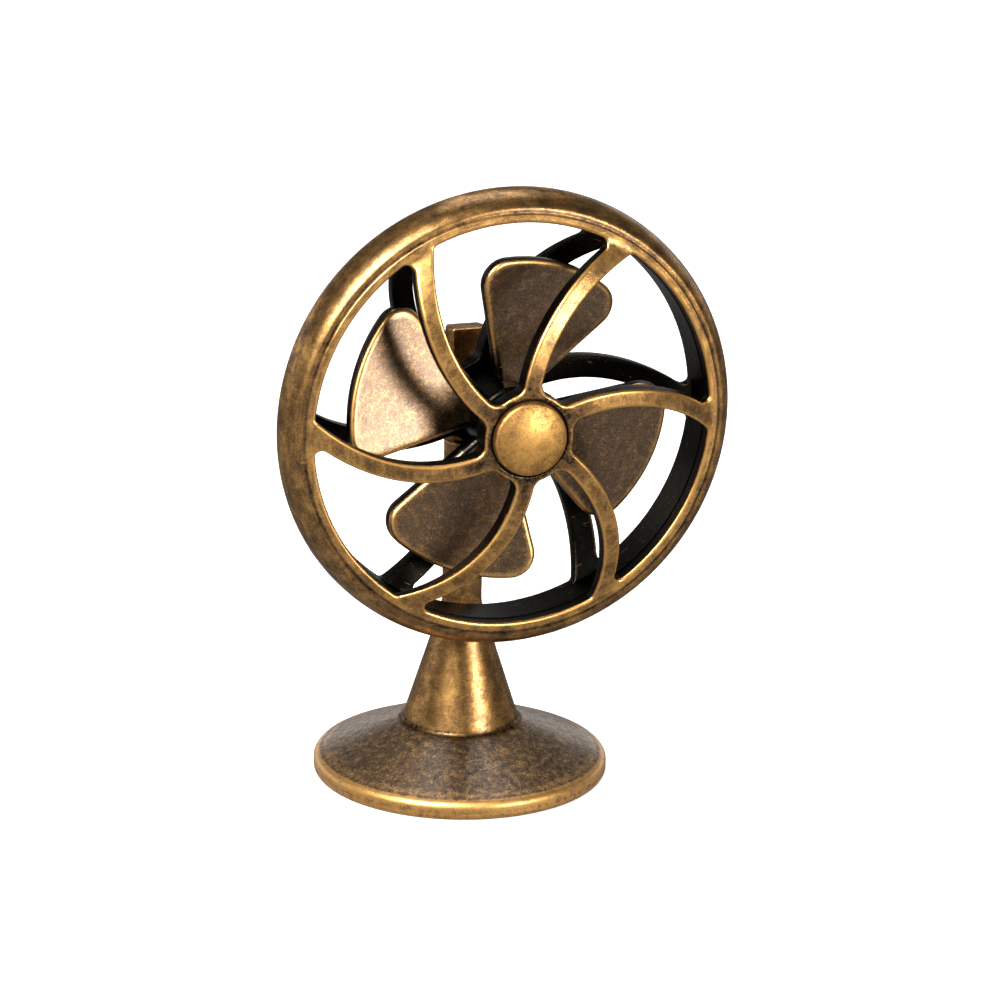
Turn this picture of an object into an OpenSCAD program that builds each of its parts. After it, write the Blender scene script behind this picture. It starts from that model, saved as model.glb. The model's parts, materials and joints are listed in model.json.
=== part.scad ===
// Small metal desk fan, die cast in two guard halves round a free-running four-blade rotor.
// It stands on +Z up, with its origin under the post in the middle of the resting face.
// The rotor faces -Y. Head pieces are drawn flat, with their own +Z pointing forward, and
// head() turns them upright. Every forward distance is counted from the post's centre line.

/* [Base] */
// Diameter of the round foot
base_d = 19.4; // [17:0.1:26]
// Height of the rim, where the sloping top begins
base_rim_h = 1.15; // [0.8:0.05:1.3]
// Height of the seat that the pedestal stands on
base_seat_h = 3.55; // [2.8:0.05:4]
// Thickness of metal under the sloping top
base_wall = 1.0; // [0.8:0.05:1.2]
// Rounding along both edges of the rim
rim_round = 0.42; // [0.2:0.02:0.44]

/* [Pad] */
// Thickness of the felt pad under the base
pad_t = 0.4; // [0.3:0.05:0.6]
// Width of the rim land left outside the pad
pad_land = 1.3; // [1:0.1:2]

/* [Pedestal] */
// Diameter of the cone just above its flared foot
cone_foot_d = 7.6; // [6:0.1:9]
// Height above the table at which the cone runs into the post
cone_top_h = 11.6; // [9:0.1:14]
// Radius of the little flare round the foot of the cone
foot_flare = 0.24; // [0.1:0.02:0.4]
// Diameter of the round post
post_d = 2.6; // [2:0.1:3.4]
// Thickness of the flattened top of the post
tang_t = 1.56; // [1.2:0.02:1.9]
// Height of the post's top above the rotor axis, and the flats' reach below it
tang_reach = 3.8; // [3:0.1:5]

/* [Base screw] */
// Diameter of the screw's shank
screw_d = 1.6; // [1.2:0.1:2]
// Length of the screw's shank under its head
screw_len = 6; // [4:0.5:7]
// Diameter of the screw's head
screw_head_d = 3; // [2.4:0.1:3.6]
// Height of the screw's head
screw_head_h = 0.7; // [0.5:0.05:0.9]
// Thickness of the washer under the head
screw_washer_t = 0.25; // [0.15:0.05:0.4]

/* [Head] */
// Height of the rotor axis above the table
axis_h = 26.56; // [24:0.1:34]
// Forward distance of the seam where the two guard halves meet
seam_f = 8.0; // [7.4:0.1:10]

/* [Guard] */
// Outer diameter of the front guard half
guard_d = 29.6; // [27:0.1:36]
// Clear diameter inside the front ring
guard_open_d = 25.9; // [23.4:0.1:26.4]
// Height of the front ring in front of the seam
ring_front_h = 2.3; // [1.9:0.1:3]
// Depth of the rear ring behind the seam
ring_rear_h = 1.6; // [1.4:0.1:2.4]
// Step in radius from the front half down to the rear half
seam_step = 0.15; // [0.05:0.05:0.3]
// Width of the flat lip round the front opening
lip_w = 0.5; // [0.3:0.05:0.7]
// Height of the spigot that centres the halves
spigot_h = 1.3; // [0.8:0.1:1.5]
// Thickness of the spigot's wall
spigot_wall = 0.65; // [0.5:0.05:0.8]
// How far each guard bulges at the hub
dome_h = 2.9; // [2:0.1:3.5]
// Fullness of the bulge, where 2 is a plain bowl and more is flatter in the middle
dome_power = 3.15; // [2:0.05:4]

/* [Spokes] */
// Number of swirled spokes in each guard
spoke_count = 6; // [4:1:8]
// Width of a front spoke
spoke_w = 1.14; // [0.8:0.02:1.5]
// Width of a rear spoke
rear_spoke_w = 1.44; // [0.8:0.02:1.7]
// Radius of the arc that each spoke follows from the hub
spoke_bend_r = 10.58; // [9:0.1:16]
// Direction of the first spoke as it leaves the hub, in degrees
spoke_start_a = 35.4; // [0:0.1:60]
// Thickness of a spoke at the ring
spoke_rim_t = 0.85; // [0.6:0.05:1]
// Thickness of a spoke at the hub
spoke_hub_t = 1.35; // [1:0.05:1.6]
// Diameter of the guard hubs
hub_d = 5.8; // [5.6:0.1:8]

/* [Rotor] */
// Number of blades
blade_count = 4; // [3:1:5]
// Radius of the blade tips
blade_r = 10.4; // [8.5:0.1:10.8]
// Angle that one blade spans, in degrees
blade_span = 63; // [40:1:66]
// Direction of the first blade's trailing edge, in degrees
blade_start_a = -51; // [-90:1:90]
// Pitch of the blades, in degrees
blade_pitch = 12; // [5:1:18]
// Thickness of the blades
blade_t = 1.0; // [0.6:0.05:1.2]
// Rounding of the two outer corners of a blade
blade_corner_r = 1.6; // [0.6:0.1:2]
// How far behind the seam a blade's face lies on its pitch line
blade_set = 0.1; // [0:0.05:0.2]
// Diameter of the rotor's hub
rotor_hub_d = 4.6; // [4:0.1:6]

/* [Axle] */
// Diameter of the axle
axle_d = 1.2; // [0.9:0.05:1.6]
// Diameter of the domed cap on the front
cap_d = 4.7; // [4:0.1:4.8]
// Height of the cap's edge above the hub
cap_edge_t = 0.3; // [0.2:0.05:0.5]
// Depth of the recess in the hub that the cap sits in
cap_recess = 0.3; // [0.2:0.05:0.4]
// Rise of the cap's dome above its edge
cap_rise = 0.5; // [0.3:0.05:0.8]
// Diameter of the rivet collar behind the post
collar_d = 3.6; // [2.6:0.1:4.4]
// Length of the rivet collar
collar_h = 1.0; // [0.6:0.05:1.4]
// Thickness of the two running washers
washer_t = 0.3; // [0.2:0.05:0.4]
// Diameter of the two running washers
washer_d = 3.2; // [2.4:0.1:3.8]

/* [Fits] */
// Radial gap of the running bore on the axle
running_gap = 0.05; // [0.02:0.01:0.1]
// Free play at each end of the rotor's hub
end_float = 0.06; // [0.03:0.01:0.12]
// Gap between pieces that slip together and stay
slip_gap = 0.03; // [0.01:0.01:0.05]
// Gap round the cap in its recess
cap_gap = 0.15; // [0.05:0.01:0.15]
// Radial bite of a pressed or threaded piece
press_bite = 0.02; // [0.01:0.01:0.03]

/* [Dowels] */
// Number of dowels across the guard seam
dowel_count = 3; // [3:1:6]
// Diameter of a dowel
dowel_d = 0.6; // [0.4:0.05:0.7]
// Length of a dowel
dowel_len = 1.3; // [0.8:0.1:1.6]

/* [Hidden] */
$fn = 96;

base_r = base_d / 2;
post_r = post_d / 2;
axle_r = axle_d / 2;
hub_r = hub_d / 2;

// Extra length that carries a cut clean through a face
cut = 1;
// Depth of the flat seat that the pedestal's foot covers, and of the spigot under it
foot_r = cone_foot_d / 2 + foot_flare;
foot_spigot_h = 0.6;
foot_spigot_r = 1.9;
// The boss under the seat that the screw pulls against
screw_boss_r = screw_head_d / 2 + 0.7;
screw_head_top = base_seat_h - 1.6 - screw_washer_t;
screw_seat_h = screw_head_top + screw_washer_t;

// Forward levels of the front half, from its lip to the back of its spokes
lip_f = seam_f + ring_front_h;
open_r = guard_open_d / 2;
front_r = guard_d / 2;
front_ring_w = front_r - open_r;
spigot_f = seam_f + spigot_h;
spigot_r = open_r + spigot_wall;
// Forward levels of the rear half
back_f = seam_f - ring_rear_h;
rear_r = front_r - seam_step;
rear_open_r = open_r - 0.05;

// Faces of the two hubs along the axis
front_hub_f = lip_f + dome_h;
front_hub_back = front_hub_f - spoke_hub_t;
rear_hub_f = back_f + spoke_hub_t - dome_h;
rear_hub_back = back_f - dome_h;
cap_seat_f = front_hub_f - cap_recess;
boss_rise = 0.35;
rear_boss_f = rear_hub_f + boss_rise;
// Stack on the axle: rear boss, washer, rotor hub, washer, front boss
rotor_back = rear_boss_f + washer_t + end_float;
rotor_len = 4.2;
rotor_front = rotor_back + rotor_len;
front_boss_f = rotor_front + end_float + washer_t;
axle_back = -tang_t / 2 - collar_h * 0.7;
axle_front = front_hub_f + cap_edge_t;
blade_f = seam_f - blade_set;
dowel_r = (spigot_r + slip_gap + rear_r) / 2 - 0.05;

// Points along an elliptical arc
function arc(c, rx, ry, a0, a1, n) =
    [for (i = [0 : n]) let (a = a0 + (a1 - a0) * i / n) [c[0] + rx * cos(a), c[1] + ry * sin(a)]];

// How much of the dome's height is left at a radius
function dome(r) = 1 - pow(r / open_r, dome_power);

// Points across a domed face, from the axis out past the ring's inner wall
function dome_line(f_rim, rise, r_end, n = 12) =
    [for (i = [0 : n]) let (r = r_end * sqrt(i / n)) [r, f_rim + rise * dome(r)]];

function reversed(list) = [for (i = [len(list) - 1 : -1 : 0]) list[i]];

// Turns a flat-drawn head piece upright, with its +Z pointing forward
module head() {
    translate([0, 0, axis_h])
        rotate([90, 0, 0])
            children();
}

// A cylinder between two levels on the axis
module stub(r, low, high) {
    translate([0, 0, low])
        cylinder(r = r, h = high - low);
}

// A plain ring between two levels on the axis
module washer(r_out, r_in, low, high) {
    difference() {
        stub(r_out, low, high);
        stub(r_in, low - cut, high + cut);
    }
}

// A round foot, hollow underneath, with a screw boss and a flat seat on top
module base_disc() {
    slope_h = base_seat_h - base_rim_h;
    slope_w = base_r - foot_r;
    pad_r = base_r - pad_land;
    hollow_r = pad_r - 0.9;
    roof_r = screw_boss_r + 0.4;
    outline = concat(
        [[0, 0]],
        arc([base_r - rim_round, rim_round], rim_round, rim_round, -90, 0, 6),
        arc([base_r - rim_round, base_rim_h - rim_round], rim_round, rim_round, 0, 67, 6),
        [[foot_r, base_seat_h], [0, base_seat_h]]
    );
    // Height of the sloping top at a radius
    function top_at(r) = base_rim_h + slope_h * (base_r - r) / slope_w;
    hollow = [
        [screw_boss_r, -cut], [hollow_r, -cut],
        [hollow_r, top_at(hollow_r) - base_wall],
        [roof_r, top_at(roof_r) - base_wall],
        [screw_boss_r, top_at(roof_r) - base_wall]
    ];
    color([0.32, 0.24, 0.15])
        difference() {
            rotate_extrude()
                polygon(outline);
            rotate_extrude()
                polygon(hollow);
            stub(pad_r, -cut, pad_t);
            stub(screw_boss_r + slip_gap, -cut, screw_seat_h);
            stub(screw_d / 2 + 0.1, -cut, base_seat_h + cut);
            stub(foot_spigot_r + slip_gap, base_seat_h - foot_spigot_h, base_seat_h + cut);
        }
}

// A thin felt disc let into the underside
module base_pad() {
    color([0.12, 0.13, 0.12])
        stub(base_r - pad_land - slip_gap, 0, pad_t);
}

// A pan-head screw with a straight slot, entering from below
module base_screw() {
    slot_w = 0.4;
    slot_deep = 0.3;
    head_low = screw_head_top - screw_head_h;
    color([0.62, 0.6, 0.56])
        difference() {
            union() {
                stub(screw_head_d / 2, head_low, screw_head_top);
                stub(screw_d / 2, head_low + slot_deep, screw_head_top + screw_len);
            }
            translate([-screw_head_d, -slot_w / 2, head_low - cut])
                cube([2 * screw_head_d, slot_w, slot_deep + cut]);
        }
}

module base_washer() {
    color([0.6, 0.58, 0.52])
        washer(screw_boss_r - 0.2, screw_d / 2 + 0.1, screw_head_top, screw_seat_h);
}

// Cone, post and flattened top in one casting, with a tapped hole up its middle
module pedestal() {
    top = axis_h + tang_reach;
    cone_low = base_seat_h + foot_flare;
    hole_top = screw_head_top + screw_len + 0.5;
    outline = concat(
        [[0, base_seat_h - foot_spigot_h], [foot_spigot_r, base_seat_h - foot_spigot_h]],
        [[foot_spigot_r, base_seat_h]],
        reversed(arc([foot_r, cone_low], foot_flare, foot_flare, 180, 270, 6)),
        [[post_r, cone_top_h], [post_r, top], [0, top]]
    );
    color([0.62, 0.45, 0.22])
        difference() {
            rotate_extrude()
                polygon(outline);
            stub(screw_d / 2 - press_bite, base_seat_h - foot_spigot_h - cut, hole_top);
            for (side = [-1, 1])
                translate([-post_d, side < 0 ? -post_d - tang_t / 2 : tang_t / 2, axis_h - tang_reach])
                    cube([2 * post_d, post_d, 2 * tang_reach + cut]);
            head()
                stub(axle_r - press_bite, -post_d, post_d);
        }
}

// One spoke: half of a ring that passes through the hub's centre
module spoke(width) {
    rotate(spoke_start_a)
        intersection() {
            translate([0, -spoke_bend_r])
                difference() {
                    circle(r = spoke_bend_r + width / 2);
                    circle(r = spoke_bend_r - width / 2);
                }
            translate([0, -2 * spoke_bend_r])
                square(3 * spoke_bend_r);
        }
}

// All spokes of a guard, cut to a domed shell between two curved faces
module domed_spokes(front_line, back_line, reach, width) {
    intersection() {
        rotate_extrude()
            polygon(concat(front_line, reversed(back_line)));
        linear_extrude(height = front_hub_f + cut)
            intersection() {
                circle(r = reach);
                for (i = [0 : spoke_count - 1])
                    rotate(i * 360 / spoke_count)
                        spoke(width);
            }
    }
}

// Blind holes for the dowels, or the dowels themselves
module dowels(r, low, high) {
    for (i = [0 : dowel_count - 1])
        rotate(i * 360 / dowel_count)
            translate([dowel_r, 0, 0])
                stub(r, low, high);
}

// Rear half: ring with a centring spigot, spokes, and a hub slotted over the post's flats
module rear_guard() {
    reach = rear_open_r + 0.1;
    slot_side = post_r + slip_gap;
    hub_back = tang_t / 2 - 0.4;
    ring = concat(
        [[rear_open_r, back_f]],
        arc([rear_open_r + 0.35, seam_f], rear_r - rear_open_r - 0.35, ring_rear_h, -90, 0, 9),
        [[spigot_r, seam_f], [spigot_r, spigot_f], [rear_open_r, spigot_f]]
    );
    color([0.36, 0.27, 0.16])
        head()
            difference() {
                union() {
                    rotate_extrude()
                        polygon(ring);
                    domed_spokes(
                        dome_line(back_f + spoke_rim_t, spoke_hub_t - spoke_rim_t - dome_h, reach),
                        dome_line(back_f, -dome_h, reach),
                        reach,
                        rear_spoke_w
                    );
                    stub(hub_r, rear_hub_back, rear_hub_f);
                    stub(washer_d / 2, rear_hub_back, rear_boss_f);
                    stub(hub_r * 0.7, hub_back, rear_hub_back + 0.2);
                }
                translate([-slot_side, -hub_r, hub_back - cut])
                    cube([2 * slot_side, 2 * hub_r, tang_t / 2 + slip_gap - hub_back + cut]);
                stub(axle_r + slip_gap, hub_back - cut, rear_boss_f + cut);
                dowels(dowel_d / 2 + slip_gap, seam_f - dowel_len / 2, seam_f + cut);
            }
}

// Front half: rounded ring with a flat lip, spokes, and a hub that carries the nose cap
module front_guard() {
    reach = open_r + 0.1;
    step_f = spigot_f + slip_gap;
    ring = concat(
        [[spigot_r + slip_gap, seam_f]],
        arc([open_r + lip_w, seam_f], front_ring_w - lip_w, ring_front_h, 0, 90, 10),
        [[open_r, lip_f], [open_r, step_f], [spigot_r + slip_gap, step_f]]
    );
    color([0.66, 0.48, 0.24])
        head()
            difference() {
                union() {
                    rotate_extrude()
                        polygon(ring);
                    domed_spokes(
                        dome_line(lip_f, dome_h, reach),
                        dome_line(lip_f - spoke_rim_t, dome_h + spoke_rim_t - spoke_hub_t, reach),
                        reach,
                        spoke_w
                    );
                    stub(hub_r, front_hub_back, front_hub_f);
                    stub(washer_d / 2, front_boss_f, front_hub_f);
                }
                stub(axle_r + slip_gap, front_boss_f - cut, front_hub_f + cut);
                stub(cap_d / 2 + cap_gap, cap_seat_f, front_hub_f + cut);
                dowels(dowel_d / 2 + slip_gap, seam_f - cut, seam_f + dowel_len / 2);
            }
}

module guard_dowels() {
    color([0.5, 0.48, 0.45])
        head()
            dowels(dowel_d / 2, seam_f - dowel_len / 2 + slip_gap, seam_f + dowel_len / 2 - slip_gap);
}

// Face outline of one blade: a sector of a circle with its two outer corners rounded
module blade_outline() {
    inner_r = blade_r - blade_corner_r;
    lean = asin(blade_corner_r / inner_r);
    low = lean;
    high = blade_span - lean;
    polygon(concat(
        [[0, 0]],
        arc(inner_r * [cos(low), sin(low)], blade_corner_r, blade_corner_r, -90, low, 8),
        arc([0, 0], blade_r, blade_r, low + 2, high - 2, 16),
        arc(inner_r * [cos(high), sin(high)], blade_corner_r, blade_corner_r, high, blade_span + 90, 8)
    ));
}

// Hub and blades in one casting; each blade is a flat pitched plate cut to its outline
module rotor() {
    pitch_line = 10;
    color([0.3, 0.22, 0.14])
        head()
            difference() {
                union() {
                    stub(rotor_hub_d / 2, rotor_back, rotor_front);
                    for (i = [0 : blade_count - 1])
                        rotate(blade_start_a + i * 360 / blade_count)
                            intersection() {
                                linear_extrude(height = lip_f)
                                    blade_outline();
                                rotate(pitch_line)
                                    translate([0, 0, blade_f])
                                        rotate([blade_pitch, 0, 0])
                                            translate([-blade_r, -2 * blade_r, -blade_t])
                                                cube([3 * blade_r, 4 * blade_r, blade_t]);
                            }
                }
                stub(axle_r + running_gap, rotor_back - cut, rotor_front + cut);
            }
}

module axle() {
    color([0.6, 0.58, 0.54])
        head()
            stub(axle_r, axle_back, axle_front);
}

module front_washer() {
    color([0.6, 0.5, 0.3])
        head()
            washer(washer_d / 2, axle_r + slip_gap, front_boss_f - washer_t, front_boss_f);
}

module rear_washer() {
    color([0.6, 0.5, 0.3])
        head()
            washer(washer_d / 2, axle_r + slip_gap, rear_boss_f, rear_boss_f + washer_t);
}

// A low domed cap pressed on the axle's front end, in the hub's recess
module nose_cap() {
    cap_r = cap_d / 2;
    dome_r = (cap_r * cap_r + cap_rise * cap_rise) / (2 * cap_rise);
    edge_f = front_hub_f + cap_edge_t;
    dome_a = asin(cap_r / dome_r);
    outline = concat(
        [[0, cap_seat_f], [cap_r, cap_seat_f]],
        arc([0, edge_f + cap_rise - dome_r], dome_r, dome_r, 90 - dome_a, 90, 8)
    );
    color([0.78, 0.58, 0.3])
        head()
            difference() {
                rotate_extrude()
                    polygon(outline);
                stub(axle_r - press_bite, cap_seat_f - cut, axle_front);
            }
}

// The headed end that closes the stack behind the post
module rear_collar() {
    face_f = -tang_t / 2;
    round_r = 0.35;
    outline = concat(
        [[0, face_f], [0, face_f - collar_h]],
        arc([collar_d / 2 - round_r, face_f - collar_h + round_r], round_r, round_r, -90, 0, 5),
        [[collar_d / 2, face_f]]
    );
    color([0.55, 0.42, 0.22])
        head()
            difference() {
                rotate_extrude()
                    polygon(outline);
                stub(axle_r - press_bite, axle_back, face_f + cut);
            }
}

base_disc();
base_pad();
base_screw();
base_washer();
pedestal();
rear_guard();
front_guard();
guard_dowels();
rotor();
axle();
front_washer();
rear_washer();
nose_cap();
rear_collar();
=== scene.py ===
"""Desk fan: the finished look of a small die-cast fan, built round its fixed CAD frame."""

import json
import math

import bmesh
import bpy
from bpy.props import FloatProperty, FloatVectorProperty, IntProperty, PointerProperty
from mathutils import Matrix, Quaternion, Vector


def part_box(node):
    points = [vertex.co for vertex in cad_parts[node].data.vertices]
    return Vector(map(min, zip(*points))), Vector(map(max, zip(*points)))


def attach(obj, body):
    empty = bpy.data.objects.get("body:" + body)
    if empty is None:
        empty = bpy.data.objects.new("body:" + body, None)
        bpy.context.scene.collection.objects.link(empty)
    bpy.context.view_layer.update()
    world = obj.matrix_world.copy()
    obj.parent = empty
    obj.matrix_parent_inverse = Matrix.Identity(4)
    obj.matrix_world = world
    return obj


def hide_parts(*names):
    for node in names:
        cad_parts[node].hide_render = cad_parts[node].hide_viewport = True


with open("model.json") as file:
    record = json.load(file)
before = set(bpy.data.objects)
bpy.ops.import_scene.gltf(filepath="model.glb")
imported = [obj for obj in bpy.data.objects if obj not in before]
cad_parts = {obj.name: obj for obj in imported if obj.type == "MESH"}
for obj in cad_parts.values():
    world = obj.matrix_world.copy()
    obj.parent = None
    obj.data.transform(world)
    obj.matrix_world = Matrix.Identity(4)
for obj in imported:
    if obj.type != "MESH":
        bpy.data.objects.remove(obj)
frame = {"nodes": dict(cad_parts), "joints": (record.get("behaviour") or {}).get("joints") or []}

bl_info = {
    "name": "Desk Fan",
    "version": (1, 0, 0),
    "blender": (4, 5, 0),
    "location": "View3D > Sidebar > Desk Fan",
    "description": "Builds a die-cast desk fan in an antique brass finish",
    "category": "Object",
}

MM = 0.001
SHARP_ANGLE = math.radians(42)
WELD = 0.0004 * MM
# the wear attribute also holds painted shade: its low values darken the edge of the cap's recess and the whole
# rotor hub
WEAR_AND_SHADE = "wear"  # point attribute: 1 on rubbed edges, -1 in hollows, 0 between

# clearances and small roundings of the moving and fitted parts, in millimetres
FIT_GAP = 0.03  # round a pin in its bore, a disc in its recess, a flat in its slot
CAP_GAP = 0.15  # round the cap in its recess
ROTOR_BORE_GAP = 0.05  # round the axle in the rotor's bore
ROTOR_END_GAP = 0.06  # between the rotor's hub and each washer
SQUEEZE_RUB = 0.12  # how far a rubbed edge reaches beside a flat
BLADE_BACK_EDGE = 0.12  # rounding round the back of a blade


# ---------------------------------------------------------------- levels taken from the frame

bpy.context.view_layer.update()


def corner(node, end):
    """Lowest (end 0) or highest (end 1) corner of a CAD node, in millimetres."""
    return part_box(node)[end] / MM


AXIS_H = frame["joints"][0]["pos_m"][2] / MM
SEAM_F = -frame["joints"][0]["pos_m"][1] / MM
FRONT_R = corner("front_guard", 1).x
FRONT_HUB_F = -corner("front_guard", 0).y
REAR_R = corner("rear_guard", 1).x
SPIGOT_F = -corner("rear_guard", 0).y
NECK_BACK_F = -corner("rear_guard", 1).y
FOOT_R = corner("base_disc", 1).x
SEAT_H = corner("base_disc", 1).z
PAD_R = corner("base_pad", 1).x
PAD_H = corner("base_pad", 1).z
POST_TOP = corner("pedestal", 1).z
POST_LOW = corner("pedestal", 0).z
POST_FOOT_R = corner("pedestal", 1).x
CAP_R = corner("nose_cap", 1).x
CAP_TOP_F = -corner("nose_cap", 0).y
CAP_SEAT_F = -corner("nose_cap", 1).y
COLLAR_R = corner("rear_collar", 1).x
COLLAR_FACE_F = -corner("rear_collar", 0).y
COLLAR_END_F = -corner("rear_collar", 1).y
AXLE_R = corner("axle", 1).x
WASHER_R = corner("front_washer", 1).x
FRONT_WASHER = (-corner("front_washer", 1).y, -corner("front_washer", 0).y)
REAR_WASHER = (-corner("rear_washer", 1).y, -corner("rear_washer", 0).y)
ROTOR_HUB = (REAR_WASHER[1] + ROTOR_END_GAP, FRONT_WASHER[0] - ROTOR_END_GAP)
BORE_R = AXLE_R + FIT_GAP
CAP_RECESS_R = CAP_R + CAP_GAP


# ---------------------------------------------------------------- sizes and colours a user would change

def size(name, text, millimetres):
    """A length property, given in millimetres and kept in metres."""
    return FloatProperty(name=name, description=text, default=millimetres * MM, unit="LENGTH")


def angle(name, text, degrees):
    """An angle property, given in degrees and kept in radians."""
    return FloatProperty(name=name, description=text, default=math.radians(degrees), subtype="ANGLE")


def tint(name, text, colour):
    """A colour property."""
    return FloatVectorProperty(
        name=name, description=text, default=colour, size=3, subtype="COLOR", min=0, max=1
    )


class FAN_PG_guard(bpy.types.PropertyGroup):
    """Sizes that both guard halves share."""

    spoke_count: IntProperty(name="Spokes", description="Swirled spokes in each half", default=6, min=4)
    open_r: size("Opening radius", "Clear radius inside the front ring", 12.95)
    rear_step: size("Rear step", "How much smaller the rear opening is", 0.05)
    lip_w: size("Lip width", "Flat lip round the front opening", 0.5)
    rear_lip_w: size("Rear lip width", "Flat lip round the rear opening", 0.35)
    front_h: size("Front ring height", "Height of the front ring ahead of the seam", 2.3)
    rear_h: size("Rear ring depth", "Depth of the rear ring behind the seam", 1.6)
    spigot_r: size("Spigot radius", "Outer radius of the centring spigot", 13.6)
    dome_h: size("Dome rise", "How far each half bulges at its hub", 2.9)
    dome_power: FloatProperty(name="Dome fullness", description="2 is a plain bowl", default=3.15, min=2)
    spoke_w: size("Spoke width", "Width of a front spoke", 1.14)
    rear_spoke_w: size("Rear spoke width", "Width of a rear spoke", 1.44)
    bend_r: size("Spoke bend", "Radius of the arc that a spoke follows", 10.58)
    start_a: angle("First spoke", "Direction of the first spoke at the hub", 35.4)
    rim_t: size("Thickness at the ring", "Thickness of a spoke where it meets the ring", 0.85)
    hub_t: size("Thickness at the hub", "Thickness of a spoke where it meets the hub", 1.35)
    hub_r: size("Hub radius", "Radius of the guard hubs", 2.9)
    edge_r: size("Edge rounding", "Rounding along the edges of the openings", 0.2)
    ring_corner_r: size("Ring corners", "Rounding of an opening's corners at the ring", 0.42)
    hub_corner_r: size("Hub corners", "Rounding of an opening's corners at the hub", 0.78)
    groove: size("Groove depth", "Depth of the soft valley between lip and ring", 0.08)


class FAN_PG_rotor(bpy.types.PropertyGroup):
    """Sizes of the four-blade rotor."""

    blade_count: IntProperty(name="Blades", description="Blades on the rotor", default=4, min=3)
    blade_r: size("Blade radius", "Radius of the blade tips", 10.4)
    span: angle("Blade span", "Angle that one blade spans", 63)
    start_a: angle("First blade", "Direction of the first trailing edge", -51)
    pitch: angle("Pitch", "Pitch of the blades", 12)
    pitch_line: angle("Pitch line", "Where the pitch turns, from the trailing edge", 10)
    face_set: size("Face set", "How far behind the seam a blade's face lies", 0.1)
    thick: size("Blade thickness", "Thickness of a blade", 1.0)
    corner_r: size("Corner rounding", "Rounding of a blade's outer corners", 1.6)
    edge_r: size("Edge rounding", "Rounding round a blade's front face", 0.34)
    dish: size("Dish", "How far a blade's face is hollowed", 0.1)
    hub_r: size("Hub radius", "Radius of the rotor's hub", 2.3)


class FAN_PG_stand(bpy.types.PropertyGroup):
    """Sizes of the foot and the post."""

    rim_h: size("Rim height", "Height of the foot's rim", 1.15)
    rim_r: size("Rim rounding", "Rounding along the rim's edges", 0.42)
    cone_r: size("Cone radius", "Radius of the cone at its foot", 3.8)
    cone_top: size("Cone height", "Height at which the cone runs into the post", 11.6)
    flare_r: size("Flare", "Rounding between cone and foot", 0.42)
    post_r: size("Post radius", "Radius of the round post", 1.3)
    tang_t: size("Flat thickness", "Thickness of the post's flattened top", 1.56)
    tang_reach: size("Flat reach", "Reach of the flats below the rotor axis", 3.8)


class FAN_PG_finish(bpy.types.PropertyGroup):
    """Colours of the antique brass finish."""

    bright: tint("Rubbed brass", "Brass where the finish is rubbed through", (0.86, 0.468, 0.138))
    brown: tint("Brown patina", "Ordinary colour of the finish", (0.29, 0.153, 0.051))
    # the dark patina also paints shade: the edge of the cap's recess and the rotor's hub
    dark: tint("Dark patina", "Colour in the hollows", (0.017, 0.015, 0.012))
    copper: tint("Copper patina", "Warmer brown of the blades", (0.19, 0.108, 0.052))
    earth: tint("Earth patina", "Dull brown on top of the foot", (0.21, 0.125, 0.06))
    dust: tint("Dust", "Pale specks and lint", (0.62, 0.51, 0.36))
    felt: tint("Felt", "Felt under the foot", (0.022, 0.024, 0.022))
    steel: tint("Steel", "Plain screws and pins", (0.56, 0.55, 0.53))


class FAN_PG_stage(bpy.types.PropertyGroup):
    """Where the camera stands."""

    azimuth: angle("Azimuth", "Camera direction round the fan", -17.949)
    elevation: angle("Elevation", "Camera height above level", 16.773)
    distance: size("Distance", "Camera distance from its target", 265)
    target_h: size("Target height", "Height that the camera looks at", 22)
    lens: FloatProperty(name="Lens", description="Focal length in millimetres", default=147.04)
    roll: angle("Roll", "Turn of the camera about its own line of sight", 0.8)
    shift_x: FloatProperty(name="Shift X", description="Sideways shift of the frame", default=0.0361)
    shift_y: FloatProperty(name="Shift Y", description="Upward shift of the frame", default=-0.0501)


# ---------------------------------------------------------------- geometry helpers, in millimetres

def unit(turn):
    """The flat unit vector at an angle in radians."""
    return Vector((math.cos(turn), math.sin(turn)))


def heading(point):
    """The angle at which a flat point lies, in radians."""
    return math.atan2(point.y, point.x)


def mix(a, b, t):
    """The value a share t of the way from a to b."""
    return a + (b - a) * t


def clamped(share):
    """A share held between 0 and 1."""
    return min(1.0, max(0.0, share))


def near_turn(turn, middle):
    """The same direction as turn, in the full turn whose middle is given."""
    return turn + 2 * math.pi * round((middle - turn) / (2 * math.pi))


def circles_meet(centre_a, radius_a, centre_b, radius_b, near):
    """The crossing of two circles that lies nearer to a given point."""
    gap = centre_b - centre_a
    along = (gap.length_squared + radius_a**2 - radius_b**2) / (2 * gap.length)
    off = math.sqrt(max(0.0, radius_a**2 - along**2))
    ahead = gap.normalized()
    side = Vector((-ahead.y, ahead.x))
    crossings = [centre_a + ahead * along + side * off * way for way in (1, -1)]
    return min(crossings, key=lambda p: (p - near).length)


def arc(centre, start, end, steps, turn):
    """Points from start up to, not including, end; turn is 1 anticlockwise, -1 clockwise."""
    radius = (start - centre).length
    first = heading(start - centre)
    sweep = (turn * (heading(end - centre) - first)) % (2 * math.pi)
    return [centre + unit(first + turn * sweep * i / steps) * radius for i in range(steps)]


def ellipse(centre, half_w, half_h, first, last, steps):
    """Profile points along an elliptical arc, in degrees, with no wear."""
    turns = [math.radians(mix(first, last, i / steps)) for i in range(steps + 1)]
    return [(centre[0] + half_w * math.cos(a), centre[1] + half_h * math.sin(a), 0.0) for a in turns]


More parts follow.
